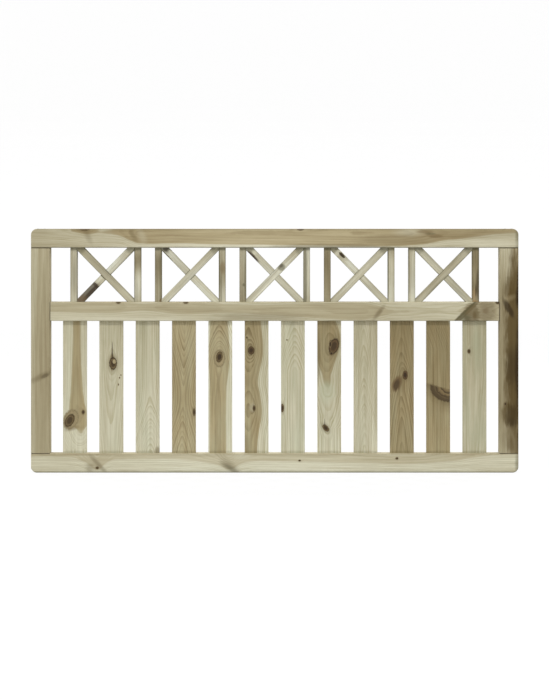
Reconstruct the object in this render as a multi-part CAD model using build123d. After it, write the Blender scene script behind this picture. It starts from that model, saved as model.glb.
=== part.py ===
from build123d import *
import math
import os

# Deck railing panel of planed timber: a butt-jointed frame, a row of upright slats below a middle
# rail, and a band of half-lapped crosses above it. All sizes are in millimetres.
# X runs along the panel, Y from its front to its back and Z up. The origin is the middle of the
# outer face of the left stile, the face that is fastened to a post.

# Whole panel
panel_width = 1800.0
panel_height = 900.0

# Frame timber of the rails and stiles
frame_face = 70.0
frame_depth = 45.0
frame_arris = 4.0
corner_radius = 22.0
cut_end_ease = 1.5

# Upright slats between the bottom and the middle rail
slat_count = 12
slat_width = 88.0
slat_depth = 15.0
slat_arris = 1.5
housing_depth = 8.0

# Band of crosses between the middle and the top rail
band_height = 200.0
cross_count = 5
cross_gap = 51.5
row_end_gap = 74.5

# Battens of the crosses
batten_face = 25.0
batten_depth = 27.0
batten_arris = 2.0
brace_inset = 8.0
crosses_with_falling_front = [1]

# Levels of the frame, measured from the panel's middle
rail_level = panel_height / 2 - frame_face / 2
stile_length = panel_height - 2 * frame_face
clear_width = panel_width - 2 * frame_face
band_top = panel_height / 2 - frame_face
band_bottom = band_top - band_height
slat_top = band_bottom - frame_face
slat_bottom = frame_face - panel_height / 2
middle_level = (band_bottom + slat_top) / 2

# Equal gaps between and beside the slats, which share the clear width
slat_gap = (clear_width - slat_count * slat_width) / (slat_count + 1)
slat_pitch = slat_width + slat_gap
slat_first = frame_face + slat_gap + slat_width / 2

# The crosses, over their uprights, share what the gaps between and beside them leave
cross_row = clear_width - 2 * row_end_gap
cross_width = (cross_row - (cross_count - 1) * cross_gap) / cross_count
cross_pitch = cross_width + cross_gap
cross_first = frame_face + row_end_gap + cross_width / 2

# Clear opening of one cross, and the slope of the braces in it
opening_width = cross_width - 2 * batten_face
brace_run = opening_width - 2 * brace_inset
brace_angle = math.degrees(math.atan2(band_height, brace_run))
brace_stock = math.hypot(brace_run, band_height) + 2 * batten_face


def section(face, depth, arris):
    """Cross-section of a planed timber, lying in the XY plane."""
    return RectangleRounded(face, depth, arris)


def timber(length, face, depth, arris):
    """Timber standing along Z, with its length centred on the origin."""
    return extrude(section(face, depth, arris), amount=length / 2, both=True)


def frame_timber(length):
    """Length of frame timber along Z, with the cut ends eased."""
    bar = timber(length, frame_face, frame_depth, frame_arris)
    cut_ends = bar.faces().filter_by(Axis.Z)
    return chamfer(cut_ends.edges(), cut_end_ease)


def stile(x):
    """Upright side of the frame, standing between the two long rails."""
    return Pos(x, 0, 0) * frame_timber(stile_length)


def long_rail(level, outer_side):
    """Full-length rail whose two outer corners are rounded, on the side that outer_side gives."""
    outline = Rectangle(panel_width, frame_face)
    outer_corners = outline.vertices().group_by(Axis.Y)[outer_side]
    outline = fillet(outer_corners, corner_radius)
    rail = extrude(Plane.XZ * outline, amount=frame_depth / 2, both=True)
    broad_faces = rail.faces().sort_by(Axis.Y)
    arrises = broad_faces[0].edges() + broad_faces[-1].edges()
    rail = fillet(arrises, frame_arris)
    return Pos(panel_width / 2, 0, level) * rail


def middle_rail():
    """Rail between the stiles, which carries the crosses and takes the heads of the slats."""
    return Pos(panel_width / 2, 0, middle_level) * Rot(0, 90, 0) * frame_timber(clear_width)


def slat_places():
    """Middles of the slats along the panel."""
    return [slat_first + index * slat_pitch for index in range(slat_count)]


def slat(x):
    """Slat that fills its two housings, in the bottom rail and in the middle rail."""
    length = slat_top - slat_bottom + 2 * housing_depth
    middle = (slat_top + slat_bottom) / 2
    return Pos(x, 0, middle) * timber(length, slat_width, slat_depth, slat_arris)


def cross_places():
    """Middles of the crosses along the panel."""
    return [cross_first + index * cross_pitch for index in range(cross_count)]


def upright(x):
    """Short upright beside a cross, cut square between the rails."""
    middle = (band_top + band_bottom) / 2
    return Pos(x, 0, middle) * timber(band_height, batten_face, batten_depth, batten_arris)


def brace(slope):
    """Diagonal of a cross, cut to the rail and to the upright at each end."""
    stock = Rot(0, 90 - slope, 0) * timber(brace_stock, batten_face, batten_depth, batten_arris)
    opening = Box(opening_width, batten_depth, band_height)
    return stock & opening


def lap_notch(slope, y):
    """Half-depth notch that takes the other brace where the two cross."""
    notch = Box(batten_face, batten_depth / 2, brace_stock)
    return Pos(0, y, 0) * Rot(0, 90 - slope, 0) * notch


def cross(x, rising_in_front):
    """Pair of braces, rising and falling, half-lapped so that their faces lie flush."""
    side = 1 if rising_in_front else -1
    rising = brace(brace_angle) - lap_notch(-brace_angle, side * batten_depth / 4)
    falling = brace(-brace_angle) - lap_notch(brace_angle, -side * batten_depth / 4)
    place = Pos(x, 0, (band_top + band_bottom) / 2)
    return place * rising, place * falling


def save(shape, node):
    """Write one sub-part to its own file."""
    export_step(shape, f"parts/{node}.step")


os.makedirs("parts", exist_ok=True)

# Slats, numbered from the left, and the two rails that are housed for them
slats = [slat(x) for x in slat_places()]
bottom_rail = long_rail(-rail_level, 0)
mid_rail = middle_rail()
for number, piece in enumerate(slats, start=1):
    bottom_rail -= piece
    mid_rail -= piece
    save(piece, f"slat_{number:02d}")

# Frame
save(long_rail(rail_level, -1), "top_rail")
save(bottom_rail, "bottom_rail")
save(mid_rail, "mid_rail")
save(stile(frame_face / 2), "left_stile")
save(stile(panel_width - frame_face / 2), "right_stile")

# Crosses, numbered from the left
upright_offset = (cross_width - batten_face) / 2
for number, x in enumerate(cross_places(), start=1):
    rising, falling = cross(x, number not in crosses_with_falling_front)
    save(rising, f"brace_rise_{number}")
    save(falling, f"brace_fall_{number}")
    save(upright(x - upright_offset), f"upright_{2 * number - 1:02d}")
    save(upright(x + upright_offset), f"upright_{2 * number:02d}")
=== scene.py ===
# %% [markdown]
# # A deck railing panel in treated pine
# The real object is a timber panel, 1.8 m wide and 0.9 m high, that closes the gap between two deck
# posts. Its frame, slats and crosses already exist as exact solids, so nothing here moves or resizes
# them. This lesson gives every stick of wood its own board: its own growth rings, heartwood, knots
# and stains, worked out in the shader from the place of each point inside the board.

# %% Load the frame
import math

import bpy
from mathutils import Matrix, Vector


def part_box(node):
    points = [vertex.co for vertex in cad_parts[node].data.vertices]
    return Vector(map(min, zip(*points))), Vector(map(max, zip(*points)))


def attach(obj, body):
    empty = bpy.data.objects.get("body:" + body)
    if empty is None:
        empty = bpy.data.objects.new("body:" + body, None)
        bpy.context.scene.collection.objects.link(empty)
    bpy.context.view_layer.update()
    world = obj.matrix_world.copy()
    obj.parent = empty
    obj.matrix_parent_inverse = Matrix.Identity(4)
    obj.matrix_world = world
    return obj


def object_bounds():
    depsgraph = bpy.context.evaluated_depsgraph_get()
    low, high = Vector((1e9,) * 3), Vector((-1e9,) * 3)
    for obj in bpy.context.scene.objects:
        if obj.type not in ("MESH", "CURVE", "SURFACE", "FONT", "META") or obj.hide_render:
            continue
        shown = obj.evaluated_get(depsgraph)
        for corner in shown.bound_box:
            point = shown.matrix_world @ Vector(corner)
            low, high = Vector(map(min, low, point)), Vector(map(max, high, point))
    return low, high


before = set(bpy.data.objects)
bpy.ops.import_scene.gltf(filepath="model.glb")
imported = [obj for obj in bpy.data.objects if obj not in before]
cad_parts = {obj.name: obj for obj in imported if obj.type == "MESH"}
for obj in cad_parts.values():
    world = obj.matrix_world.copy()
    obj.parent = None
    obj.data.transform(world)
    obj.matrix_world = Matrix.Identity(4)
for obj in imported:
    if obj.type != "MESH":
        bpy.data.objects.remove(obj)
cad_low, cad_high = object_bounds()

MM = 0.001
panel_size = cad_high - cad_low
panel_middle = (cad_low + cad_high) / 2
print("nodes", len(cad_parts), "panel size in metres", [round(s, 3) for s in panel_size])

# %% [markdown]
# ## The camera
# The photograph was taken level, from straight in front and a little above the panel's top, so the
# upright timbers stay parallel. A level camera that looks past its subject needs a lens shift, as a
# view camera does. The lens follows from the distance and from how wide the panel is in the picture.

# %% Camera
PICTURE_WIDE, PICTURE_HIGH = 549, 700
PANEL_COLUMNS = 487.8
PANEL_MIDDLE_COLUMN, PANEL_MIDDLE_ROW = 274.7, 350.8
SENSOR = 36.0
camera_distance = 5.8
camera_above_middle = 0.475
camera_right_of_middle = 0.05

pixels_per_metre = PANEL_COLUMNS / panel_size.x
camera_data = bpy.data.cameras.new("camera")
camera_data.sensor_width = SENSOR
camera_data.lens = SENSOR * camera_distance * pixels_per_metre / PICTURE_HIGH
middle_without_shift = PICTURE_WIDE / 2 - camera_right_of_middle * pixels_per_metre
camera_data.shift_x = (middle_without_shift - PANEL_MIDDLE_COLUMN) / PICTURE_HIGH
row_without_shift = PICTURE_HIGH / 2 + camera_above_middle * pixels_per_metre
camera_data.shift_y = (PANEL_MIDDLE_ROW - row_without_shift) / PICTURE_HIGH
camera = bpy.data.objects.new("camera", camera_data)
camera.location = (
    panel_middle.x + camera_right_of_middle,
    cad_low.y - camera_distance,
    panel_middle.z + camera_above_middle,
)
camera.rotation_euler = (math.radians(90), 0, 0)
bpy.context.scene.collection.objects.link(camera)
bpy.context.scene.camera = camera
print("lens", round(camera_data.lens, 1), "shift", round(camera_data.shift_y, 3))

# %% [markdown]
# ## Writing shader maths as Python
# A wood shader is mostly arithmetic on coordinates. Wiring dozens of Math nodes by hand hides the
# idea, so a small class wraps an output socket and lets the usual operators add the nodes. Anything
# that isn't arithmetic comes from one method that makes a node of any type.

# %% Shader maths
class Wire:
    """An output socket that Python's operators can work on."""

    def __init__(self, tree, socket):
        self.tree = tree
        self.socket = socket

    def maths(self, operation, *values):
        """Math node on this wire and up to two more values."""
        inputs = dict(enumerate((self, *values)))
        return node(self.tree, "ShaderNodeMath", {"operation": operation}, inputs)

    def __add__(self, other):
        return self.maths("ADD", other)

    def __sub__(self, other):
        return self.maths("SUBTRACT", other)

    def __mul__(self, other):
        return self.maths("MULTIPLY", other)

    def __truediv__(self, other):
        return self.maths("DIVIDE", other)

    def __pow__(self, other):
        return self.maths("POWER", other)

    def __abs__(self):
        return self.maths("ABSOLUTE")

    def step(self, start, end):
        """Smooth rise from 0 at start to 1 at end, or a fall where end is the lower one."""
        settings = {"interpolation_type": "SMOOTHSTEP"}
        return node(self.tree, "ShaderNodeMapRange", settings, {0: self, 1: start, 2: end})


def node(tree, kind, settings=None, inputs=None, output=0):
    """Node of any type with its settings and inputs, handed back as the wire of one of its outputs."""
    made = tree.nodes.new(kind)
    for name, value in (settings or {}).items():
        setattr(made, name, value)
    for name, value in (inputs or {}).items():
        if isinstance(value, Wire):
            tree.links.new(value.socket, made.inputs[name])
        else:
            made.inputs[name].default_value = value
    return Wire(tree, made.outputs[output]) if output is not None else None


def larger(first, second):
    """The larger of a wire and another value."""
    return first.maths("MAXIMUM", second)


def blend(factor, first, second):
    """Mix of two colours, each a wire or a colour."""
    settings = {"data_type": "RGBA"}
    return node(factor.tree, "ShaderNodeMix", settings, {0: factor, 6: first, 7: second}, output=2)


def noise(vector, lumps, detail=2.0, rough=0.5):
    """Smooth noise about 0, with lumps of three sizes: across, deep and along. At size 0 nothing changes."""
    rates = [1 / size if size else 0.0 for size in lumps]
    inputs = {0: vector, 1: rates}
    stretched = node(vector.tree, "ShaderNodeVectorMath", {"operation": "MULTIPLY"}, inputs)
    inputs = {"Vector": stretched, "Scale": 1.0, "Detail": detail, "Roughness": rough}
    return node(vector.tree, "ShaderNodeTexNoise", {}, inputs) - 0.5


def line_noise(value):
    """Smooth noise about 0 that changes along one number."""
    inputs = {"W": value, "Scale": 1.0, "Detail": 1.0}
    return node(value.tree, "ShaderNodeTexNoise", {"noise_dimensions": "1D"}, inputs) - 0.5


def colour(red, green, blue):
    """Colour from the usual 0 to 255 values, as the light values that a shader takes."""
    shades = [value / 255 for value in (red, green, blue)]
    light = [shade / 12.92 if shade <= 0.04045 else ((shade + 0.055) / 1.055) ** 2.4 for shade in shades]
    return (*light, 1.0)


print("a grey of 128 as light", round(colour(128, 128, 128)[0], 3))

# %% [markdown]
# ## The tones of treated pine
# Pressure treatment leaves copper salts in the outer, younger wood, so the pale sapwood turns khaki
# with a green cast. The heartwood takes less of it and stays olive brown. Each board mixes the same
# few tones, so the panel reads as one batch of timber.

# %% Tones
SAPWOOD = colour(212, 208, 184)
SAPWOOD_LATE = colour(178, 169, 135)
HEARTWOOD = colour(170, 155, 118)
HEARTWOOD_LATE = colour(128, 110, 75)
BROWNING = colour(163, 152, 132)
GREEN_CAST = colour(178, 183, 156)
GREY_CAST = colour(184, 183, 166)
KNOT_WOOD = colour(122, 104, 72)
KNOT_RED = colour(106, 84, 56)
KNOT_DARK = colour(58, 46, 32)
WET_BROWN = colour(84, 67, 32)
WET_DARK = colour(46, 33, 12)
# The grime tone is used for real dirt and also for painted shade: on arrises, in joints and under the rails.
GRIME_AND_SHADE = colour(82, 78, 52)
SOOT = colour(94, 88, 76)
CRACK = colour(62, 52, 38)
WATER_STAIN = colour(104, 90, 60)
RAW_ORANGE = colour(156, 126, 84)
print("sapwood as light", [round(part, 3) for part in SAPWOOD[:3]])

# %% [markdown]
# ## Finding a point's place inside its board
# Object coordinates give a point's place in the panel, in metres. A Mapping node of the Texture kind
# moves the origin to the middle of the board's front face, turns the grain upright and divides by a
# millimetre. From here on, across, deep and along are plain millimetres in every board, whichever way
# it lies: across runs to the right of an upright board and downwards on a lying one. For noise, the
# place is shifted far along the trunk, by another amount for each board, so that no two look alike.
#
# What changes along a board is given at a few places, and a colour ramp runs smoothly between them.
# A ramp holds shades from 0 to 1, so the values are squeezed into that range and stretched again.

# %% Board space
TRUNK_STEP = 977.0
UPRIGHT, LYING = 0, 90
PLAIN_BOARD = {
    "heart": ((-1, 0, -30), (1, 0, -30)),
    "pith_depth": 40.0,
    "ring_spacing": 5.4,
    "arch": ((-1, 0), (1, 0)),
    "wander": 5.0,
    "bend": 7.0,
    "brown": (0.1, 0.1),
    "green": 0.25,
    "cast": GREEN_CAST,
    "uneven": 1.0,
    "shaded_arris": 0.0,
    "contrast": 1.0,
    "heart_tone": 1.0,
    "dark_ends": 0.0,
    "knots": (),
    "cracks": (),
    "stains": (),
    "spikes": (),
}


class Board:
    """A board's material in the making: where a point lies in it, and what is known of it."""

    def __init__(self, name, lean, number, facts):
        self.facts = {**PLAIN_BOARD, **facts}
        self.material = bpy.data.materials.new("wood_" + name)
        self.material.use_nodes = True
        tree = self.tree = self.material.node_tree
        low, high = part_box(name)
        inputs = {
            "Vector": node(tree, "ShaderNodeTexCoord", output="Object"),
            "Location": ((low.x + high.x) / 2, low.y, (low.z + high.z) / 2),
            "Rotation": (0, math.radians(lean), 0),
            "Scale": (MM, MM, MM),
        }
        place = node(tree, "ShaderNodeMapping", {"vector_type": "TEXTURE"}, inputs)
        split = node(tree, "ShaderNodeSeparateXYZ", {}, {0: place}).socket.node
        self.across, self.deep, self.along = [Wire(tree, part) for part in split.outputs]
        shift = {0: place, 1: (0, 0, TRUNK_STEP * number)}
        self.trunk = node(tree, "ShaderNodeVectorMath", {"operation": "ADD"}, shift)
        self.length = max(high - low) / MM

    def follow(self, pairs):
        """A value given at places along the board, smooth between them."""
        places, values = zip(*pairs)
        low, span = min(values), (max(values) - min(values)) or 1.0
        start, reach = places[0], places[-1] - places[0]
        share = (self.along - start) / reach
        curve = node(self.tree, "ShaderNodeValToRGB", {}, {0: share})
        ramp = curve.socket.node.color_ramp
        ramp.interpolation = "CARDINAL"
        for place in places[1:-1]:
            ramp.elements.new((place - start) / reach)
        for stop, value in zip(ramp.elements, values):
            shade = (value - low) / span
            stop.color = (shade, shade, shade, 1.0)
        return curve * span + low

    def evenly(self, values):
        """A value given at evenly spaced places, from the bottom or left end to the other."""
        step = self.length / (len(values) - 1)
        return self.follow([(index * step - self.length / 2, value) for index, value in enumerate(values)])


print("what is known of a board:", ", ".join(PLAIN_BOARD))

# %% [markdown]
# ## Growth rings
# A board is a slice out of a trunk. Every point has a distance from the pith, and the rings are that
# distance cut into steps. Heartwood is all the rings inside a limit, so its edge follows the grain. It
# is given by places along the board, each with the middle and the half-width of the heartwood there. A
# negative half-width means that it hasn't reached the face yet. The trunk's taper is what draws pointed
# arches on a flat-sawn face, and it is given as the distance by which the rings have shifted outwards.

# %% Rings
WANDER_LUMPS = (0, 0, 260)
BEND_LUMPS = (50, 50, 210)
RIPPLE_LUMPS, RIPPLE = (7, 7, 90), 1.8
SHIVER_LUMPS, SHIVER = (4, 4, 16), 0.9
SPACING_CHANGE, SPACING_DRIFT = 0.43, 1.6
RING_LIGHTEST, RING_RANGE = 0.35, 0.65


def ring_field(board):
    """Distance in millimetres outwards from the edge of the heartwood."""
    facts = board.facts
    depth = facts["pith_depth"]
    middle = board.follow([(along, place) for along, place, width in facts["heart"]])
    width = board.follow([(along, width) for along, place, width in facts["heart"]])
    wander = noise(board.trunk, WANDER_LUMPS, detail=1.0) * facts["wander"]
    off_pith = board.across - middle - wander
    behind = board.deep - depth
    distance = (off_pith * off_pith + behind * behind) ** 0.5
    limit = larger(width * abs(width) + depth ** 2, 1.0) ** 0.5
    bend = noise(board.trunk, BEND_LUMPS) * facts["bend"]
    fine = noise(board.trunk, RIPPLE_LUMPS) * RIPPLE + noise(board.trunk, SHIVER_LUMPS) * SHIVER
    return distance - limit + bend + fine


def late_wood(field, spacing):
    """How much of the dark, late part of a ring a point has, with a strength for each ring."""
    rings = field / spacing
    rings = rings + line_noise(rings * SPACING_CHANGE) * SPACING_DRIFT
    phase = rings.maths("FRACT")
    whole = {"W": rings.maths("FLOOR")}
    strength = node(field.tree, "ShaderNodeTexWhiteNoise", {"noise_dimensions": "1D"}, whole)
    return phase.step(0.2, 0.88) * phase.step(1.0, 0.92) * (strength * RING_RANGE + RING_LIGHTEST)


print("millimetres from ring to ring in a plain board", PLAIN_BOARD["ring_spacing"])

# %% [markdown]
# ## Knots, cracks and stains
# A knot is a branch that the trunk grew around, so it does two things: the rings swerve round it, and
# the branch itself shows as a dark oval with rings of its own. Both come from one distance, measured
# in knot sizes, which counts the depth below the front face too, so a knot at an edge runs over it and
# fades. A branch that the saw cut lengthways shows as a half bowl under a straight edge. Cracks are
# thin wandering lines along the grain, and stains are soft patches. The tilt of a knot, a stain or a
# straight edge is how far it climbs along the board for each millimetre across it.

# %% Knots
KNOT_LUMPS, KNOT_RAGGED = (6, 6, 6), 0.34
KNOT_RING = 6
KNOT_RISE, BARK_DEPTH = 0.25, 0.5
SWERVE_STRETCH = 1.9


def knot(across, along, wide, high, core=0.8, bark=0.6, halo=0.3, pull=0.5, tilt=0.0, tone=KNOT_WOOD,
         reach=40.0):
    """What a knot is: its middle, its sizes and depth, and how dark its core, its bark and its halo are."""
    return dict(across=across, along=along, wide=wide, high=high, core=core, bark=bark, halo=halo,
                pull=pull, tilt=tilt, tone=tone, reach=reach)


def oval_distance(board, spot, stretch=1.0):
    """Distance from the middle of a knot or stain, in its own half-sizes."""
    off = board.across - spot["across"]
    right = off / (spot["wide"] / 2 * stretch ** 0.5)
    up = (board.along - spot["along"] - off * spot["tilt"]) / (spot["high"] / 2 * stretch)
    inwards = board.deep / spot["reach"]
    return (right * right + up * up + inwards * inwards) ** 0.5


def swerve(board, field):
    """Ring field with the rings pushed round each knot."""
    for spot in board.facts["knots"]:
        near = oval_distance(board, spot, stretch=SWERVE_STRETCH).step(2.1, 0.2)
        field = field - near * (spot["wide"] * spot["pull"])
    return field


def add_knot(board, spot, base, height):
    """Lay one knot over a board's colour, and sink its bark in the surface."""
    distance = oval_distance(board, spot) + noise(board.trunk, KNOT_LUMPS) * KNOT_RAGGED
    inside = distance.step(1.12, 0.9)
    turns = (distance * (min(spot["wide"], spot["high"]) / KNOT_RING)).maths("FRACT").step(0.3, 0.9)
    core = distance.step(0.85, 0.4) * spot["core"]
    bark = distance.step(0.66, 0.94) * spot["bark"]
    tone = blend(turns * 0.35, spot["tone"], KNOT_DARK)
    tone = blend(larger(core, bark), tone, KNOT_DARK)
    base = blend(distance.step(2.1, 0.95) * spot["halo"], base, WATER_STAIN)
    return blend(inside, base, tone), height + inside * KNOT_RISE - bark * inside * BARK_DEPTH


print("what a knot is given by:", ", ".join(knot(0, 0, 20, 30)))

# %% A branch sawn lengthways
BRANCH_LUMPS, BRANCH_RAGGED = (9, 9, 14), 0.22
EDGE_LUMPS, EDGE_RAGGED = (7, 7, 9), 12
BRANCH_LAYERS = 4.0
LAYER_TONE, RIM_TONE, BRANCH_TONE, BRANCH_HALO = 0.85, 0.8, 0.9, 0.45


def spike(across, along, wide, high, top, edge_tilt):
    """What a spike knot is: an oval's middle and sizes, and the straight edge that it lies under."""
    return dict(across=across, along=along, wide=wide, high=high, top=top, edge_tilt=edge_tilt,
                tilt=0.0, reach=40.0)


def add_spike(board, branch, base):
    """Lay a branch that was sawn lengthways over a board: a half bowl with layers along its curve."""
    ragged = noise(board.trunk, BRANCH_LUMPS, detail=3.0) * BRANCH_RAGGED
    distance = oval_distance(board, branch) + ragged
    edge = board.along - branch["top"] - (board.across - branch["across"]) * branch["edge_tilt"]
    under = (edge + noise(board.trunk, EDGE_LUMPS, detail=3.0) * EDGE_RAGGED).step(5.0, -5.0)
    inside = distance.step(1.08, 0.97) * under
    layers = (distance * BRANCH_LAYERS).maths("FRACT").step(0.25, 0.85)
    rim = distance.step(0.55, 0.88)
    halo = distance.step(1.45, 0.95) * under * BRANCH_HALO
    tone = blend(larger(layers * LAYER_TONE, rim * RIM_TONE), KNOT_WOOD, KNOT_DARK)
    return blend(inside * BRANCH_TONE, blend(halo, base, WATER_STAIN), tone)


print("layers across a sawn branch", BRANCH_LAYERS)

# %% Cracks and stains
WAVER_LUMPS = (0, 0, 22)
THINNEST_CRACK = 0.3
STAIN_LUMPS, STAIN_RAGGED = (9, 9, 34), 0.6
FRINGE_LUMPS, FRINGE_RAGGED = (2.2, 2.2, 60), 0.5


def crack(across, top, bottom, wide_top, wide_bottom, strength=0.85):
    """What a crack is: its two ends along the board, and how wide it is at each."""
    return dict(across=across, top=top, bottom=bottom, wide_top=wide_top, wide_bottom=wide_bottom,
                strength=strength)


def stain(across, along, wide, high, strength, tone=WATER_STAIN, soft=0.45, tilt=0.0, reach=45.0):
    """What a stain is: its middle, its sizes and depth, its strength and its tone."""
    return dict(across=across, along=along, wide=wide, high=high, strength=strength, tone=tone,
                soft=soft, tilt=tilt, reach=reach)


def add_crack(board, line, base, height):
    """Lay a thin dark line along the grain."""
    waver = noise(board.trunk, WAVER_LUMPS)
    share = (board.along - line["bottom"]) / (line["top"] - line["bottom"])
    wide = share * (line["wide_top"] - line["wide_bottom"]) + line["wide_bottom"]
    wide = larger(wide, THINNEST_CRACK)
    off = abs(board.across - line["across"] - waver)
    middle = (off / wide).step(0.75, 0.25)
    mask = middle * share.step(1.06, 0.9) * share.step(-0.06, 0.04) * line["strength"]
    return blend(mask, base, CRACK), height - mask


def add_stain(board, patch, base):
    """Lay a soft patch of another tone over a board."""
    ragged = noise(board.trunk, STAIN_LUMPS, detail=3.0) * STAIN_RAGGED
    fringe = noise(board.trunk, FRINGE_LUMPS) * FRINGE_RAGGED
    distance = oval_distance(board, patch) + (ragged + fringe)
    mask = distance.step(1 + patch["soft"], 1 - patch["soft"]) * patch["strength"]
    return blend(mask, base, patch["tone"])


print("what a stain is given by:", ", ".join(stain(0, 0, 40, 20, 0.5)))

# %% [markdown]
# ## One board's wood
# The pieces above are put together here. The rings give the early and late wood, soft streaks and
# fine fibres break it up, the browning and the green cast set each board apart from its neighbours,
# and the knots come last. Cut ends are darkened, for the dye that end grain drinks and as painted
# shade in the dark lines of the butt joints.
# The same heights drive a Bump node, because planed pine is never quite flat.

# %% Wood of a board
CONTRAST_LUMPS = (18, 18, 110)
STREAK_LUMPS, STREAK = (16, 16, 420), 0.5
GRAIN_LUMPS, GRAIN = (4, 4, 240), 0.55
FIBRE_LUMPS, FIBRE = (0.8, 0.8, 26), 0.25
CAST_LUMPS = (40, 40, 200)
ARRIS_LUMPS = (9, 9, 50)
ARRIS_WIDTH, ARRIS_EDGE, ARRIS_SHADE = 4.0, 0.5, 0.45
LATE_SHARE = 0.75
CUT_END, CUT_EDGE = 3.4, 1.2
FIBRE_RISE, LATE_DIP = 0.12, 0.1
BUMP_STRENGTH = 0.6
DULLNESS, LATE_POLISH, FIBRE_DULLNESS = 0.66, -0.08, 0.12
SHEEN = 0.15


def browned(base, amount):
    """Colour seen through this much brown: twice the amount takes the brown's tone twice."""
    filter_tone = node(base.tree, "ShaderNodeGamma", {}, {0: BROWNING, 1: amount})
    settings = {"data_type": "RGBA", "blend_type": "MULTIPLY"}
    return node(base.tree, "ShaderNodeMix", settings, {0: 1.0, 6: base, 7: filter_tone}, output=2)


def wood(name, lean, number, facts):
    """Material of one board, from what is particular to it."""
    board = Board(name, lean, number, facts)
    facts = board.facts
    field = swerve(board, ring_field(board))
    late = late_wood(field + board.follow(facts["arch"]), facts["ring_spacing"])
    late = late * (noise(board.trunk, CONTRAST_LUMPS).step(-0.3, 0.2) * 0.6 + 0.4)
    heart = field.step(2.0, -2.5) * facts["heart_tone"]
    streak = noise(board.trunk, STREAK_LUMPS, detail=3.0, rough=0.6)
    grain = noise(board.trunk, GRAIN_LUMPS, detail=3.0, rough=0.6)
    fibre = noise(board.trunk, FIBRE_LUMPS, detail=3.0, rough=0.65)

    early = blend(heart, SAPWOOD, HEARTWOOD)
    dense = blend(heart, SAPWOOD_LATE, HEARTWOOD_LATE)
    base = blend(late * (LATE_SHARE * facts["contrast"]), early, dense)
    cast = noise(board.trunk, CAST_LUMPS).step(-0.3, 0.3)
    base = blend(cast * facts["green"], base, facts["cast"])
    uneven = (streak * STREAK + grain * GRAIN + fibre * FIBRE) * facts["uneven"]
    base = browned(base, board.evenly(facts["brown"]) + uneven)
    # Painted shade along both long arrises of a board, in a band that darkens towards its edges.
    if facts["shaded_arris"]:
        rim = abs(board.across).step(facts["shaded_arris"] - ARRIS_WIDTH, facts["shaded_arris"] - ARRIS_EDGE)
        base = blend(rim * (noise(board.trunk, ARRIS_LUMPS) + 0.7) * ARRIS_SHADE, base, GRIME_AND_SHADE)

    height = fibre * FIBRE_RISE - late * LATE_DIP
    for patch in facts["stains"]:
        base = add_stain(board, patch, base)
    for branch in facts["spikes"]:
        base = add_spike(board, branch, base)
    for spot in facts["knots"]:
        base, height = add_knot(board, spot, base, height)
    for line in facts["cracks"]:
        base, height = add_crack(board, line, base, height)
    # Dark cut ends: the dye that end grain drinks, with painted shade in the butt joints.
    if facts["dark_ends"]:
        end = abs(board.along).step(board.length / 2 - CUT_END, board.length / 2 - CUT_EDGE)
        base = blend(end * facts["dark_ends"], base, CRACK)

    bump = {"Strength": BUMP_STRENGTH, "Distance": MM, "Height": height}
    finish = {
        "Base Color": base,
        "Roughness": late * LATE_POLISH + fibre * FIBRE_DULLNESS + DULLNESS,
        "Normal": node(board.tree, "ShaderNodeBump", {}, bump, output="Normal"),
    }
    shader = board.tree.nodes["Principled BSDF"]
    for socket, wire in finish.items():
        board.tree.links.new(wire.socket, shader.inputs[socket])
    shader.inputs["Specular IOR Level"].default_value = SHEEN
    return board.material


def dress(name, lean, number, facts, *shared):
    """Give a node of the frame its own wood. Every board of its kind has the shared stains."""
    stains = [*shared, *facts.get("stains", [])]
    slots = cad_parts[name].data.materials
    slots.clear()
    slots.append(wood(name, lean, number, {**facts, "stains": stains}))


print("boards to dress", len(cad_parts))
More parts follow.
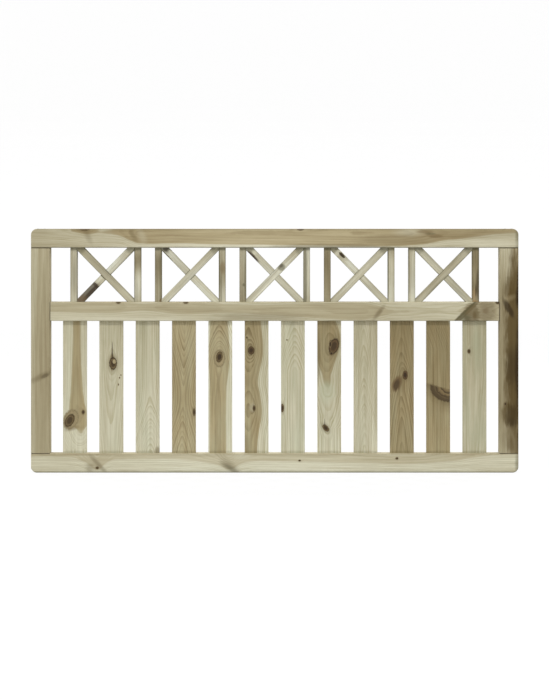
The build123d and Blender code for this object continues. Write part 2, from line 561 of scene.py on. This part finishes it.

# %% [markdown]
# ## The slats
# Flat-sawn boards, 88 mm wide. Every slat has its own mix of heartwood and sapwood, and its knots are
# where the real ones are. Pictures of planks could be laid on them, but a picture has no depth, and its
# figure stops at the edge of the face. So a slat is given by a few facts, and the shader works its wood
# out from them, round every edge. Places are in millimetres from the middle of the board, across first.

# %% Slats
# In most slats the brown given from bottom to top rises, so they darken upwards.
slat_facts = [
    dict(heart=((-253, 14, -40), (-176, 22, -14), (-152, 21, 17), (-122, 14, 29), (-64, 9, 27), (-20, 7, 23),
                (0, 7, 22), (95, 6, 17), (253, 6, 14)),
         brown=(0.04, 0.1, 0.22), pith_depth=34, wander=0, bend=3,
         knots=[knot(-14, -120, 58, 72, core=0.0, bark=0.3, halo=0.0, pull=0.03, tone=HEARTWOOD, tilt=0.3),
                knot(-19, -124, 36, 44, core=0.75, bark=0.8, halo=0.3, pull=0.0, tilt=0.5),
                knot(31, -93, 12, 17, core=0.9)],
         stains=[stain(-8, -152, 42, 16, 0.5, tone=KNOT_WOOD, soft=0.6, tilt=0.3)]),
    dict(heart=((-253, 0, -36), (253, 2, -22)), brown=(0.08, 0.2, 0.31), pith_depth=38,
         knots=[knot(7, 87, 28, 46, core=0.85, bark=0.95),
                knot(11, 94, 12, 16, core=0.0, bark=0.0, halo=0.0, pull=0.0, tone=HEARTWOOD),
                knot(31, 34, 5, 6, core=0.6, halo=0.1), knot(36, 44, 4, 6, core=0.6, halo=0.1),
                knot(27, 9, 4, 8, core=0.5, halo=0.1)],
         cracks=[crack(4.0, 168, 104, 1.3, 6.0)]),
    dict(heart=((-253, 10, -26), (253, 6, -34)), arch=((-253, -48), (-60, 0), (253, 6)),
         brown=(0.05, 0.15, 0.3), pith_depth=18, green=0.4, contrast=1.4,
         stains=[stain(38, -238, 20, 34, 0.55)]),
    dict(heart=((-253, -7, 70), (253, 3, 70)), arch=((-253, -50), (-30, 0), (253, -60)),
         brown=(-0.14, 0.1, -0.02), pith_depth=6, ring_spacing=8, wander=3, bend=4, contrast=1.4,
         knots=[knot(38, -93, 11, 27, core=0.9)]),
    dict(heart=((-253, -9, 31), (0, -8, 31), (105, -3, 37), (253, -5, 33)),
         arch=((-253, -10), (60, 0), (253, 52)), brown=(-0.08, 0.02, 0.0), pith_depth=20, wander=2, bend=3,
         ring_spacing=7.5, contrast=1.6,
         knots=[knot(-3, 106, 42, 66, core=0.0, bark=0.35, halo=0.0, pull=0.1, tone=HEARTWOOD),
                knot(-3, 111, 25, 40, core=0.95, bark=0.7, halo=0.1, tilt=0.3)]),
    dict(heart=((-253, -30, 32), (-180, -30, 37), (-96, -30, 50), (-32, -30, 44), (25, -30, 36),
                (128, -30, 54), (253, -30, 46)),
         brown=(0.06, 0.15, 0.2), pith_depth=30, wander=0, bend=3, ring_spacing=6.5, contrast=1.8,
         knots=[knot(-20, 135, 24, 30, core=0.9, bark=0.9, tone=KNOT_RED), knot(-36, 183, 6, 7, halo=0.2),
                knot(-9, -79, 11, 22, core=0.9, halo=0.2)],
         cracks=[crack(-10, -40, -70, 0.8, 1.6, strength=0.6)],
         stains=[stain(-16, -76, 20, 30, 0.25, tone=SAPWOOD)]),
    dict(heart=((-253, 8, -30), (253, 8, -26)), arch=((-253, 0), (60, 0), (253, 40)),
         brown=(0.05, 0.15, 0.2), pith_depth=26, green=0.5, contrast=1.4,
         knots=[knot(-22, 174, 5, 5, halo=0.1), knot(-39, -78, 13, 31, core=0.9)]),
    dict(heart=((-253, -5, -44), (-40, -6, -18), (4, -7, 8), (54, -12, 17), (104, -18, 27), (180, -12, 37),
                (253, -14, 36)),
         brown=(0.02, 0.24, 0.28), pith_depth=34, wander=0, bend=3, ring_spacing=7, contrast=1.5,
         knots=[knot(17, 150, 38, 56, core=0.75, bark=0.9, tilt=0.5, tone=KNOT_RED),
                knot(4, 158, 10, 30, core=1.0, bark=0.5, halo=0.0, pull=0.0, tilt=0.6),
                knot(8, 124, 14, 14, core=1.0, bark=0.6, halo=0.2, pull=0.0),
                knot(-13, -152, 25, 24, core=0.9, tilt=-0.5)],
         cracks=[crack(-17, -116, -146, 0.8, 3.0)],
         stains=[stain(-8, -20, 56, 80, 0.4, tone=GREEN_CAST), stain(-42, 110, 18, 170, 0.5)]),
    dict(heart=((-253, -3, -30), (253, -8, -26)), arch=((-253, -38), (-60, -4), (253, 42)),
         brown=(0.14, 0.26, 0.34), pith_depth=10, ring_spacing=5.8, bend=8, uneven=1.4),
    dict(heart=((-253, 0, 70), (253, -3, 70)), arch=((-253, -36), (0, 0), (253, 44)),
         brown=(0.15, 0.3, 0.48), pith_depth=12, wander=3, ring_spacing=8, contrast=1.45, uneven=1.3,
         knots=[knot(12, 44, 19, 34, core=0.95, tone=KNOT_RED)],
         stains=[stain(-19, 12, 38, 52, 0.8, tone=KNOT_RED, soft=0.3, tilt=0.7),
                 stain(-20, 8, 25, 36, 0.65, tone=KNOT_DARK, soft=0.4, tilt=0.7)]),
    dict(heart=((-253, -90, 160), (140, -90, 160), (253, -90, 124)), brown=(0.06, 0.33, 0.44), pith_depth=30,
         ring_spacing=7, contrast=0.9, uneven=1.5,
         stains=[stain(32, -64, 60, 50, 0.3, soft=0.9), stain(-34, 6, 26, 18, 0.35, soft=0.8)],
         spikes=[spike(45, 3, 150, 116, top=-12, edge_tilt=-0.29)]),
    dict(heart=((-253, -8, -30), (253, 8, -22)), brown=(0.23, 0.35, 0.4), green=0.65,
         knots=[knot(-21, 132, 12, 17, core=0.95, halo=0.2)]),
]
# Painted contact shade, with some dirt, at the foot of every slat where it meets the bottom rail.
SLAT_FOOT_SHADE = stain(0, -243, 150, 14, 0.25, tone=GRIME_AND_SHADE, soft=0.6)
for number, facts in enumerate(slat_facts, start=1):
    dress(f"slat_{number:02d}", UPRIGHT, number, facts, SLAT_FOOT_SHADE)
print("slats", len(slat_facts))

# %% [markdown]
# ## The frame
# The rails and stiles are heavier timber, 70 by 45 mm, cut nearer the pith, so brown heartwood runs
# along them in bands. The same kinds of facts serve, with more places, because the heart comes to the
# face and dives again. The right stile and the end of the middle rail are the darkest wood of all. One
# hard patch would look painted, so several soft ones lie over each other there.

# %% Rails and stiles
# Painted shade on the rounded right end of a rail, with some grime.
RAIL_END_SHADE = stain(0, 899, 100, 20, 0.55, tone=GRIME_AND_SHADE, soft=0.6)
FRAME_TRUNKS = 20
frame_facts = {
    "top_rail": dict(
        heart=((-900, -30, -20), (-760, -30, -10), (-700, -30, 14), (-640, -25, 5), (-560, -25, 20),
               (-520, -20, 34), (-480, -20, 40), (-368, -20, 39), (-114, -20, 44), (150, -20, 46),
               (330, -20, 49), (480, -18, 46), (560, -18, 38), (620, -22, 30), (700, -26, 26),
               (800, -28, 16), (900, -28, 8)),
        brown=(0.44, 0.14, -0.06, 0.14, 0.3), pith_depth=30, wander=4, bend=5, heart_tone=0.9, green=0.0,
        knots=[knot(-34, -702, 14, 34, core=0.3, bark=0.4, halo=0.4, reach=20),
               knot(-33, 95, 9, 24, core=0.4, halo=0.2, reach=14)],
        stains=[stain(-10, -690, 50, 22, 0.35, soft=0.8, tilt=0.4),
                stain(-10, -522, 40, 20, 0.4, soft=0.7, tilt=0.5),
                stain(-8, -490, 52, 26, 0.2, tone=SAPWOOD, soft=0.8, tilt=0.3),
                stain(6, 440, 40, 270, 0.2, soft=0.4), stain(-17, 575, 8, 38, 0.5, tone=GRIME_AND_SHADE, tilt=0.4),
                stain(-24, 496, 26, 90, 0.35, tone=SAPWOOD, soft=0.9),
                stain(30, 200, 20, 400, 0.45, soft=0.4), stain(-16, 780, 30, 260, 0.12, soft=0.7),
                RAIL_END_SHADE, stain(20, 800, 26, 220, 0.45, tone=SAPWOOD, soft=0.7),
                # The next two are painted shade along the lower and upper arrises of the rail.
                stain(35, 0, 8, 2400, 0.5, tone=GRIME_AND_SHADE, reach=8),
                stain(-35, 0, 8, 2400, 0.4, tone=GRIME_AND_SHADE, reach=8),
                stain(-24, 556, 13, 60, 0.6, tone=KNOT_WOOD),
                stain(-8, 594, 13, 56, 0.75, tone=KNOT_WOOD, tilt=0.5)]),
    "mid_rail": dict(
        heart=((-830, -16, 18), (-600, -16, 22), (-480, -16, 14), (-330, -16, 26), (-150, -10, 16),
               (100, -4, 24), (330, 0, 30), (420, 0, 10), (600, -5, -12), (720, -5, 20), (830, 0, 50)),
        brown=(0.2, 0.2, 0.24, 0.28, 0.2), pith_depth=32, wander=4, bend=5, dark_ends=0.85, green=0.1,
        heart_tone=0.5,
        knots=[knot(-34, -577, 12, 16, core=0.6, reach=12), knot(-34, -328, 11, 18, core=0.6, reach=12),
               knot(-34, 823, 14, 16, core=1.0, bark=1.0, reach=12)],
        stains=[stain(30, -580, 14, 520, 0.5, tone=SAPWOOD, soft=0.5),
                stain(20, -60, 30, 320, 0.35, soft=0.5),
                stain(5, 384, 50, 18, 0.55, soft=0.7, tilt=-0.7), stain(-4, 782, 110, 66, 0.55, soft=0.4),
                stain(14, 728, 92, 58, 0.8, soft=0.25),
                stain(0, 709, 130, 26, 0.75, soft=0.25, tilt=-1.05),
                stain(0, 703, 130, 12, 0.6, tone=GRIME_AND_SHADE, soft=0.5, tilt=-1.05),
                stain(27, 702, 36, 44, 0.6, tone=GRIME_AND_SHADE, soft=0.5),
                stain(14, 738, 30, 14, 0.5, tone=WET_BROWN, soft=0.6),
                stain(-4, 778, 24, 24, 0.4, tone=KNOT_RED, soft=0.7)]),
    "bottom_rail": dict(
        heart=((-900, -35, 10), (-800, -35, 12), (-730, -35, 18), (-686, -35, 40), (-654, -35, 58),
               (-629, -35, 40), (-597, -35, 22), (-559, -35, 20), (-368, -35, 22), (-273, -35, 30),
               (-209, -35, 42), (-168, -35, 58), (-127, -35, 40), (-82, -35, 30), (0, -35, 28),
               (200, -35, 32), (395, -35, 36), (457, -35, 38), (582, -35, 34), (700, -35, 22), (801, -35, 3),
               (900, -35, -5)),
        brown=(0.16, -0.01, -0.05, 0.0, 0.08), pith_depth=24, wander=3, bend=5, heart_tone=0.5, green=0.1,
        knots=[knot(17, -655, 10, 12), knot(-10, 92, 7, 10, halo=0.1), knot(-18, 451, 9, 11, halo=0.2)],
        stains=[stain(5, -650, 60, 20, 0.5, soft=0.8, tilt=0.9), stain(16, -682, 30, 30, 0.4, soft=0.8),
                RAIL_END_SHADE, stain(10, -165, 56, 40, 0.4, soft=0.8, tilt=0.9),
                stain(16, -168, 30, 30, 0.45, tone=GRIME_AND_SHADE, soft=0.8, tilt=1.3),
                # These two are painted shade along the lower and upper arrises of the rail.
                stain(34, 0, 13, 2400, 0.4, tone=GRIME_AND_SHADE, reach=8), stain(-34, 0, 10, 2400, 0.3, reach=8),
                stain(-24, -128, 18, 60, 0.4, tone=SAPWOOD, soft=0.7)]),
    "left_stile": dict(
        heart=((-380, 11, 30), (0, 11, 30), (380, 13, 24)), brown=(0.36, 0.44, 0.3), pith_depth=26,
        wander=4, bend=7, dark_ends=0.8, heart_tone=0.45, green=0.1,
        stains=[stain(2, -96, 80, 22, 0.5, soft=0.7, tilt=0.45),
                stain(18, -92, 26, 14, 0.4, tone=KNOT_DARK, tilt=0.4)]),
    "right_stile": dict(
        heart=((-380, 34, 30), (130, 34, 34), (230, 34, 34), (300, 34, 26), (380, 34, 22)),
        brown=(0.5, 0.75, 0.8, 0.78, 0.32), pith_depth=26, wander=8, bend=7, dark_ends=0.8, heart_tone=0.6,
        green=0.0, uneven=1.3, knots=[knot(-14, -196, 9, 12, core=1.0)],
        stains=[stain(30, 20, 88, 690, 0.86, tone=WET_BROWN, soft=0.3),
                stain(20, -320, 80, 150, 0.55, soft=0.4), stain(14, 350, 16, 120, 0.3, tone=WET_BROWN),
                stain(-9, -135, 24, 120, 0.5, tone=WET_BROWN, soft=0.6),
                stain(0, 226, 40, 80, 0.55, tone=WET_BROWN, soft=0.5),
                stain(-2, 193, 44, 18, 0.3, tone=HEARTWOOD, soft=0.9, tilt=0.3),
                stain(-3, 158, 40, 40, 0.75, tone=WET_DARK, soft=0.4, tilt=-1.3),
                stain(10, -60, 40, 130, 0.5, tone=WET_DARK, soft=0.6),
                stain(0, -234, 54, 84, 0.72, tone=WET_BROWN, soft=0.3),
                stain(12, -240, 50, 84, 0.45, tone=WET_DARK, soft=0.4),
                stain(8, -262, 34, 26, 0.3, tone=WET_DARK, soft=0.6),
                stain(6, -345, 26, 50, 0.35, tone=WET_BROWN, soft=0.6),
                # The last four darken the outer edge and the side of the stile.
                stain(36, 240, 16, 130, 0.8, tone=WET_DARK, reach=30),
                stain(36, 195, 22, 80, 1.0, tone=WET_DARK, reach=30),
                stain(36, -60, 25, 330, 0.9, tone=WET_DARK, reach=30),
                stain(36, -330, 14, 120, 0.5, tone=WET_DARK, reach=30)]),
}
for number, (name, facts) in enumerate(frame_facts.items(), start=1):
    dress(name, LYING if name.endswith("rail") else UPRIGHT, FRAME_TRUNKS + number, facts)
print("frame timbers", len(frame_facts))

# %% [markdown]
# ## The crosses
# Short battens sawn from offcuts, so each has another tone. With one material for all of them they
# would darken at the same places, so they share what is true of any batten, and each adds its own
# facts. Places on a brace are measured from its middle, along the slope that the cross gives it.

# %% Battens
BRACE_INSET = 8.0
opening_low, opening_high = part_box("brace_rise_1")
brace_run = opening_high.x - opening_low.x - 2 * BRACE_INSET * MM
brace_slope = math.degrees(math.atan2(opening_high.z - opening_low.z, brace_run))
brace_half = math.hypot(brace_run, opening_high.z - opening_low.z) / 2 / MM
BATTEN = {
    "pith_depth": 70,
    "heart": ((-150, 0, -60), (150, 0, -60)),
    "ring_spacing": 4.5,
    "bend": 5,
    "green": 0.8,
    "cast": GREY_CAST,
    "uneven": 1.5,
    "shaded_arris": 12.5,
}
# Painted shadow of the top rail on the top end of every upright, with some grime.
UPRIGHT_TOP_SHADE = stain(0, 106, 60, 32, 0.45, tone=GRIME_AND_SHADE, soft=0.3)
UPRIGHT_TRUNKS, RISE_TRUNKS, FALL_TRUNKS = 40, 60, 70

# A long thin dark stripe at an edge of a batten is painted shade on its arris.
upright_facts = [
    dict(brown=(0.2, 0.34, 0.34, 0.32, 0.27), green=1.0),
    dict(brown=(0.2, 0.04, 0.14, 0.8, 0.45), stains=[stain(-12, 20, 7, 220, 0.6, tone=GRIME_AND_SHADE)]),
    dict(brown=(0.55, 0.58, 0.78, 0.9, 0.5),
         stains=[stain(9, 0, 10, 240, 0.4, tone=GRIME_AND_SHADE), stain(10, -95, 10, 14, 0.7, tone=KNOT_RED)]),
    dict(brown=(0.15, 0.3, 0.65, 0.55, 0.4),
         stains=[stain(2, 27, 18, 46, 0.6, tone=KNOT_WOOD), stain(-12, 0, 8, 240, 0.7, tone=GRIME_AND_SHADE),
                 stain(-4, -60, 9, 110, 0.35, tone=GRIME_AND_SHADE)]),
    dict(brown=(0.75, 0.6, 0.5, 0.4, 0.35),
         stains=[stain(9, -10, 8, 160, 0.45, tone=GRIME_AND_SHADE), stain(3, -37, 8, 12, 0.6, tone=GRIME_AND_SHADE)]),
    dict(brown=(0.3, 0.15, 0.1, 0.1, 0.1), stains=[stain(-7, -5, 17, 300, 0.6, tone=GRIME_AND_SHADE, soft=0.3)]),
    dict(brown=(0.7, 0.85, 0.95, 1.05, 0.9), green=0.5),
    dict(brown=(0.04, 0.08, 0.18, 0.28, 0.5), stains=[stain(-12, 0, 7, 240, 0.7, tone=GRIME_AND_SHADE)]),
    dict(brown=(0.03, 0.08, 0.18, 0.2, 0.25), stains=[stain(-11, 0, 8, 240, 0.35, tone=GRIME_AND_SHADE)]),
    dict(brown=(0.7, 1.1, 0.92, 1.05, 1.0), green=0.4,
         stains=[stain(-6, -74, 12, 46, 0.45, tone=RAW_ORANGE), stain(8, -36, 12, 110, 0.6, tone=KNOT_DARK),
                 stain(0, -58, 4, 44, 0.7, tone=WET_DARK), stain(-2, -98, 26, 10, 0.6, tone=RAW_ORANGE),
                 stain(11, 0, 7, 240, 0.5, tone=GRIME_AND_SHADE)]),
]
for number, facts in enumerate(upright_facts, start=1):
    dress(f"upright_{number:02d}", UPRIGHT, UPRIGHT_TRUNKS + number, {**BATTEN, **facts}, UPRIGHT_TOP_SHADE)

LAP_EDGE = 13


def shaded_top_end(side):
    """Darker top end of a brace: painted shadow of the top rail, with some grime."""
    return stain(0, side * brace_half, 60, 46, 0.45, tone=GRIME_AND_SHADE, soft=0.35)


def lap_shade_lines(strength):
    """Painted shade lines across the rear brace of a pair, where its shoulders meet the front one."""
    return [stain(0, side * LAP_EDGE, 60, 3, strength, tone=GRIME_AND_SHADE, reach=10) for side in (-1, 1)]


# A long thin dark stripe at an edge of a brace is painted shade on its arris.
rise_facts = [
    dict(brown=(0.3, 0.15, 0.0, -0.05, 0.15),
         stains=[stain(0, -98, 60, 104, 0.85, tone=SOOT, soft=0.1),
                 stain(6, -80, 14, 76, 0.8, tone=KNOT_DARK),
                 stain(2, -53, 28, 12, 0.7, tone=KNOT_DARK), stain(0, -128, 40, 40, 0.55, tone=KNOT_RED),
                 *lap_shade_lines(0.9)]),
    dict(brown=(0.12, 0.18, 0.15, 0.2, 0.3)),
    dict(brown=(0.15, 0.02, 0.02, 0.05, 0.3),
         stains=[stain(-3, 38, 31, 27, 0.62, tone=GRIME_AND_SHADE, soft=0.3),
                 stain(-7, 41, 15, 13, 0.5, tone=KNOT_DARK, soft=0.5)]),
    dict(brown=(0.3, 0.2, 0.22, 0.12, 0.15)),
    dict(brown=(0.3, 0.38, 0.35, 0.42, 0.32),
         stains=[stain(12, 66, 6, 110, 0.5, tone=GRIME_AND_SHADE), stain(9, -60, 7, 120, 0.35, tone=GRIME_AND_SHADE)]),
]
fall_facts = [
    dict(brown=(0.4, 0.45, 0.42, 0.4, 0.3)),
    dict(brown=(0.1, 0.2, 0.2, 0.0, 0.0),
         stains=[stain(13, -111, 8, 64, 0.9, tone=GRIME_AND_SHADE), stain(-3, -132, 24, 22, 0.8, tone=KNOT_DARK),
                 *lap_shade_lines(0.7)]),
    dict(brown=(0.15, 0.1, 0.15, 0.2, 0.22),
         stains=[stain(10, -106, 13, 54, 0.95, tone=KNOT_DARK, soft=0.4),
                 stain(-4, -112, 14, 18, 0.5, tone=SAPWOOD)]),
    dict(brown=(0.3, -0.05, 0.1, 0.22, 0.25),
         knots=[knot(-5, -97, 11, 28, core=0.9, bark=0.9, halo=0.1, tone=GRIME_AND_SHADE)],
         stains=[stain(0, -114, 40, 16, 0.6, tone=SAPWOOD), *lap_shade_lines(0.5)]),
    dict(brown=(0.18, 0.18, 0.25, 0.32, 0.25), green=1.0, stains=lap_shade_lines(0.5)),
]
kinds = (("rise", LYING - brace_slope, RISE_TRUNKS, 1), ("fall", LYING + brace_slope, FALL_TRUNKS, -1))
for number, pair in enumerate(zip(rise_facts, fall_facts), start=1):
    for facts, (name, lean, trunks, side) in zip(pair, kinds):
        dress(f"brace_{name}_{number}", lean, trunks + number, {**BATTEN, **facts}, shaded_top_end(side))
print("brace slope in degrees", round(brace_slope, 2))

# %% [markdown]
# ## The screws of the frame
# The rails are screwed to the ends of the stiles, and the stiles to the ends of the middle rail, two
# screws to a joint. Their heads lie in the outer edges, where the front doesn't show them. Twelve
# heads could be modelled one by one, but Geometry Nodes need only one, and a point for each place.
# Every point carries the way that its head faces. The head is a disc with a star cut out of it, and a
# darker floor in the star, painted shade in the recess. A random turn, with a fixed seed, keeps the stars
# from all lining up.

# %% Steel of the screws
CLOUD_LUMPS = (2 * MM, 2 * MM, 2 * MM)
CLOUD_SHADE, CLOUD_ROUGHNESS = 0.6, 0.3
METALLIC = 0.85


def zinc(name, shade, roughness):
    """Dull zinc plating, clouded by the weather."""
    material = bpy.data.materials.new(name)
    material.use_nodes = True
    tree = material.node_tree
    place = node(tree, "ShaderNodeTexCoord", output="Object")
    cloud = noise(place, CLOUD_LUMPS)
    dull = (*[part * CLOUD_SHADE for part in shade[:3]], 1.0)
    shader = tree.nodes["Principled BSDF"]
    tree.links.new(blend(cloud.step(-0.15, 0.25), shade, dull).socket, shader.inputs["Base Color"])
    tree.links.new((cloud * CLOUD_ROUGHNESS + roughness).socket, shader.inputs["Roughness"])
    shader.inputs["Metallic"].default_value = METALLIC
    return material


screw_steel = zinc("screw_steel", colour(170, 166, 152), 0.45)
# The darker floor of the star is painted shade in the recess.
shaded_star_floor = zinc("shaded_star_floor", colour(70, 66, 58), 0.7)
print("steels", screw_steel.name, shaded_star_floor.name)

# %% Places of the screws
SCREW_SPACING = 24 * MM
rail_low, rail_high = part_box("mid_rail")
rail_level = (rail_low.z + rail_high.z) / 2
screw_places = []
for name, outer, out in (("left_stile", cad_low.x, (-1, 0, 0)), ("right_stile", cad_high.x, (1, 0, 0))):
    low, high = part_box(name)
    for offset in (-SCREW_SPACING / 2, SCREW_SPACING / 2):
        screw_places.append(((outer, panel_middle.y, rail_level + offset), out))
        across = (low.x + high.x) / 2 + offset
        for level, up in ((cad_high.z, 1), (cad_low.z, -1)):
            screw_places.append(((across, panel_middle.y, level), (0, 0, up)))
point_mesh = bpy.data.meshes.new("screw_places")
point_mesh.from_pydata([place for place, facing in screw_places], [], [])
facing_data = point_mesh.attributes.new("facing", "FLOAT_VECTOR", "POINT")
for item, (place, facing) in zip(facing_data.data, screw_places):
    item.vector = facing
screws = bpy.data.objects.new("screw_heads", point_mesh)
bpy.context.scene.collection.objects.link(screws)
print("screws", len(screw_places))

# %% One head, set on every place
HEAD_RISE = 0.5 * MM
WELD = 0.001 * MM
CIRCLE_SIDES = 32
STAR_POINTS, STAR_WAIST = 6, 0.36
SEAT_SIZE, SEAT_RISE = 0.6, 0.2
SEED = 7
screw_sizes = {"Head Width": 8.5 * MM, "Head Rise": HEAD_RISE, "Star Width": 4.2 * MM}
screw_tree = bpy.data.node_groups.new("screw_heads", "GeometryNodeTree")
new_socket = screw_tree.interface.new_socket
sockets = {"Geometry": new_socket("Geometry", in_out="INPUT", socket_type="NodeSocketGeometry")}
for label in screw_sizes:
    sockets[label] = new_socket(label, in_out="INPUT", socket_type="NodeSocketFloat")
new_socket("Geometry", in_out="OUTPUT", socket_type="NodeSocketGeometry")
given = node(screw_tree, "NodeGroupInput").socket.node
points, head_width, head_rise, star_width = [Wire(screw_tree, given.outputs[label]) for label in sockets]


def joined(*parts):
    """Several geometries as one."""
    whole = node(screw_tree, "GeometryNodeJoinGeometry")
    for part in parts:
        screw_tree.links.new(part.socket, whole.socket.node.inputs[0])
    return whole


def plate(outline, rise, material):
    """Closed plate: extruding gives its top and sides, and the same face turned over its underside."""
    face = node(screw_tree, "GeometryNodeFillCurve", {}, {"Curve": outline})
    face = node(screw_tree, "GeometryNodeSetMaterial", {}, {"Geometry": face, "Material": material})
    up = node(screw_tree, "ShaderNodeCombineXYZ", {}, {"Z": rise})
    push = {"Mesh": face, "Offset": up, "Offset Scale": 1.0, "Individual": False}
    risen = node(screw_tree, "GeometryNodeExtrudeMesh", {}, push)
    under = node(screw_tree, "GeometryNodeFlipFaces", {}, {"Mesh": face})
    weld = {"Geometry": joined(risen, under), "Distance": WELD}
    return node(screw_tree, "GeometryNodeMergeByDistance", {}, weld)


def circle(radius):
    """Round outline."""
    inputs = {"Resolution": CIRCLE_SIDES, "Radius": radius}
    return node(screw_tree, "GeometryNodeCurvePrimitiveCircle", {}, inputs)


star_inputs = {"Points": STAR_POINTS, "Inner Radius": star_width * STAR_WAIST, "Outer Radius": star_width / 2}
star = node(screw_tree, "GeometryNodeCurveStar", {}, star_inputs)
disc = plate(joined(circle(head_width / 2), star), head_rise, screw_steel)
head = joined(disc, plate(circle(star_width * SEAT_SIZE), head_rise * SEAT_RISE, shaded_star_floor))

vector_kind = {"data_type": "FLOAT_VECTOR"}
facing = node(screw_tree, "GeometryNodeInputNamedAttribute", vector_kind, {"Name": "facing"})
aim = node(screw_tree, "FunctionNodeAlignRotationToVector", {"axis": "Z"}, {"Vector": facing})
turn_inputs = {2: 0.0, 3: 2 * math.pi, "Seed": SEED}
turn = node(screw_tree, "FunctionNodeRandomValue", {"data_type": "FLOAT"}, turn_inputs, output=1)
spin = node(screw_tree, "FunctionNodeAxisAngleToRotation", {}, {"Axis": (0, 0, 1), "Angle": turn})
spun = {"Rotation": aim, "Rotate By": spin}
aim = node(screw_tree, "FunctionNodeRotateRotation", {"rotation_space": "LOCAL"}, spun)
placed = {"Points": points, "Instance": head, "Rotation": aim}
heads = node(screw_tree, "GeometryNodeInstanceOnPoints", {}, placed)
heads = node(screw_tree, "GeometryNodeRealizeInstances", {}, {"Geometry": heads})
node(screw_tree, "NodeGroupOutput", {}, {0: heads}, output=None)
print("nodes that make the screw heads", len(screw_tree.nodes))

# %% Turned into a plain mesh
modifier = screws.modifiers.new("screw_heads", "NODES")
modifier.node_group = screw_tree
for label, size in screw_sizes.items():
    modifier[sockets[label].identifier] = size
evaluated = screws.evaluated_get(bpy.context.evaluated_depsgraph_get())
screws_mesh = bpy.data.meshes.new_from_object(evaluated)
screws.modifiers.clear()
screws.data = screws_mesh
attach(screws, "root")
steels = [material.name for material in screws_mesh.materials]
print("faces of the screw heads", len(screws_mesh.polygons), "materials", steels)

# %% [markdown]
# ## Stage and light
# A sheet of pale paper lies under the panel and sweeps up behind it. To the camera most of it glows,
# as the white ground of a catalogue picture does, and the rest stays plain paper, so the panel's
# shadow shows. Four lamps stand round the panel, all at the same height, and a soft sky fills in. Each
# face gets two of them, so the sides of the timbers are as light as their fronts, and a lamp's slant is
# chosen so that a level edge throws a shadow as long as it is proud.

# %% Paper sweep
SWEEP_HALF_WIDTH = 9.0
SWEEP_FRONT, SWEEP_BACK, SWEEP_TOP = 9.0, 9.0, 6.0
SWEEP_RADIUS = 2.0
SWEEP_STEPS = 24
WHITE = (1, 1, 1, 1)
PAPER = (0.5, 0.5, 0.5, 1.0)
GLOW_SHARE = 0.75
GLOW = 1.15

floor_level = cad_low.z - HEAD_RISE
profile = [(cad_low.y - SWEEP_FRONT, floor_level)]
for step in range(SWEEP_STEPS + 1):
    turn = math.radians(90) * step / SWEEP_STEPS
    profile.append((SWEEP_BACK - SWEEP_RADIUS + SWEEP_RADIUS * math.sin(turn),
                    floor_level + SWEEP_RADIUS * (1 - math.cos(turn))))
profile.append((SWEEP_BACK, floor_level + SWEEP_TOP))
sides = [panel_middle.x - SWEEP_HALF_WIDTH, panel_middle.x + SWEEP_HALF_WIDTH]
vertices = [(x, y, z) for y, z in profile for x in sides]
faces = [(2 * i, 2 * i + 1, 2 * i + 3, 2 * i + 2) for i in range(len(profile) - 1)]
sweep_mesh = bpy.data.meshes.new("paper_sweep")
sweep_mesh.from_pydata(vertices, [], faces)
sweep = bpy.data.objects.new("paper_sweep", sweep_mesh)
bpy.context.scene.collection.objects.link(sweep)

paper = bpy.data.materials.new("paper")
paper.use_nodes = True
tree = paper.node_tree
tree.nodes.clear()
seen = node(tree, "ShaderNodeLightPath", output="Is Camera Ray")
plain = node(tree, "ShaderNodeBsdfDiffuse", {}, {"Color": PAPER})
glow = node(tree, "ShaderNodeEmission", {}, {"Color": WHITE, "Strength": GLOW})
mixed = node(tree, "ShaderNodeMixShader", {}, {0: seen * GLOW_SHARE, 1: plain, 2: glow})
node(tree, "ShaderNodeOutputMaterial", {}, {"Surface": mixed}, output=None)
sweep_mesh.materials.append(paper)
print("faces of the paper", len(sweep_mesh.polygons))

# %% Light
SKY_LIGHT = 0.88
LAMP_LIGHT = 0.725
LAMP_SIZE = math.radians(3)
LAMP_DISTANCE = 3
SHADOW_SLANT = math.radians(52)
LAMP_TURNS = [math.radians(turn) for turn in (45, 135, 225, 315)]

world = bpy.data.worlds.new("soft_sky")
bpy.context.scene.world = world
world.use_nodes = True
tree = world.node_tree
ray = node(tree, "ShaderNodeLightPath").socket.node
seen = [Wire(tree, ray.outputs[kind]) for kind in ("Is Camera Ray", "Is Glossy Ray", "Is Transmission Ray")]
direct = larger(larger(seen[0], seen[1]), seen[2])
strength = direct * (1 - SKY_LIGHT) + SKY_LIGHT
tree.links.new(strength.socket, tree.nodes["Background"].inputs["Strength"])
tree.nodes["Background"].inputs["Color"].default_value = WHITE

lamp_height = math.tan(SHADOW_SLANT) * math.cos(LAMP_TURNS[0])
for number, turn in enumerate(LAMP_TURNS, start=1):
    lamp_data = bpy.data.lights.new(f"lamp_{number}", "SUN")
    lamp_data.energy, lamp_data.angle = LAMP_LIGHT, LAMP_SIZE
    lamp = bpy.data.objects.new(f"lamp_{number}", lamp_data)
    towards = Vector((math.sin(turn), -math.cos(turn), lamp_height))
    lamp.location = panel_middle + towards * LAMP_DISTANCE
    lamp.rotation_euler = (-towards).to_track_quat("-Z", "Y").to_euler()
    bpy.context.scene.collection.objects.link(lamp)
bpy.context.scene.view_settings.view_transform = "Standard"
print("lamps", len(LAMP_TURNS), "height of a lamp in degrees", round(math.degrees(math.atan(lamp_height)), 1))
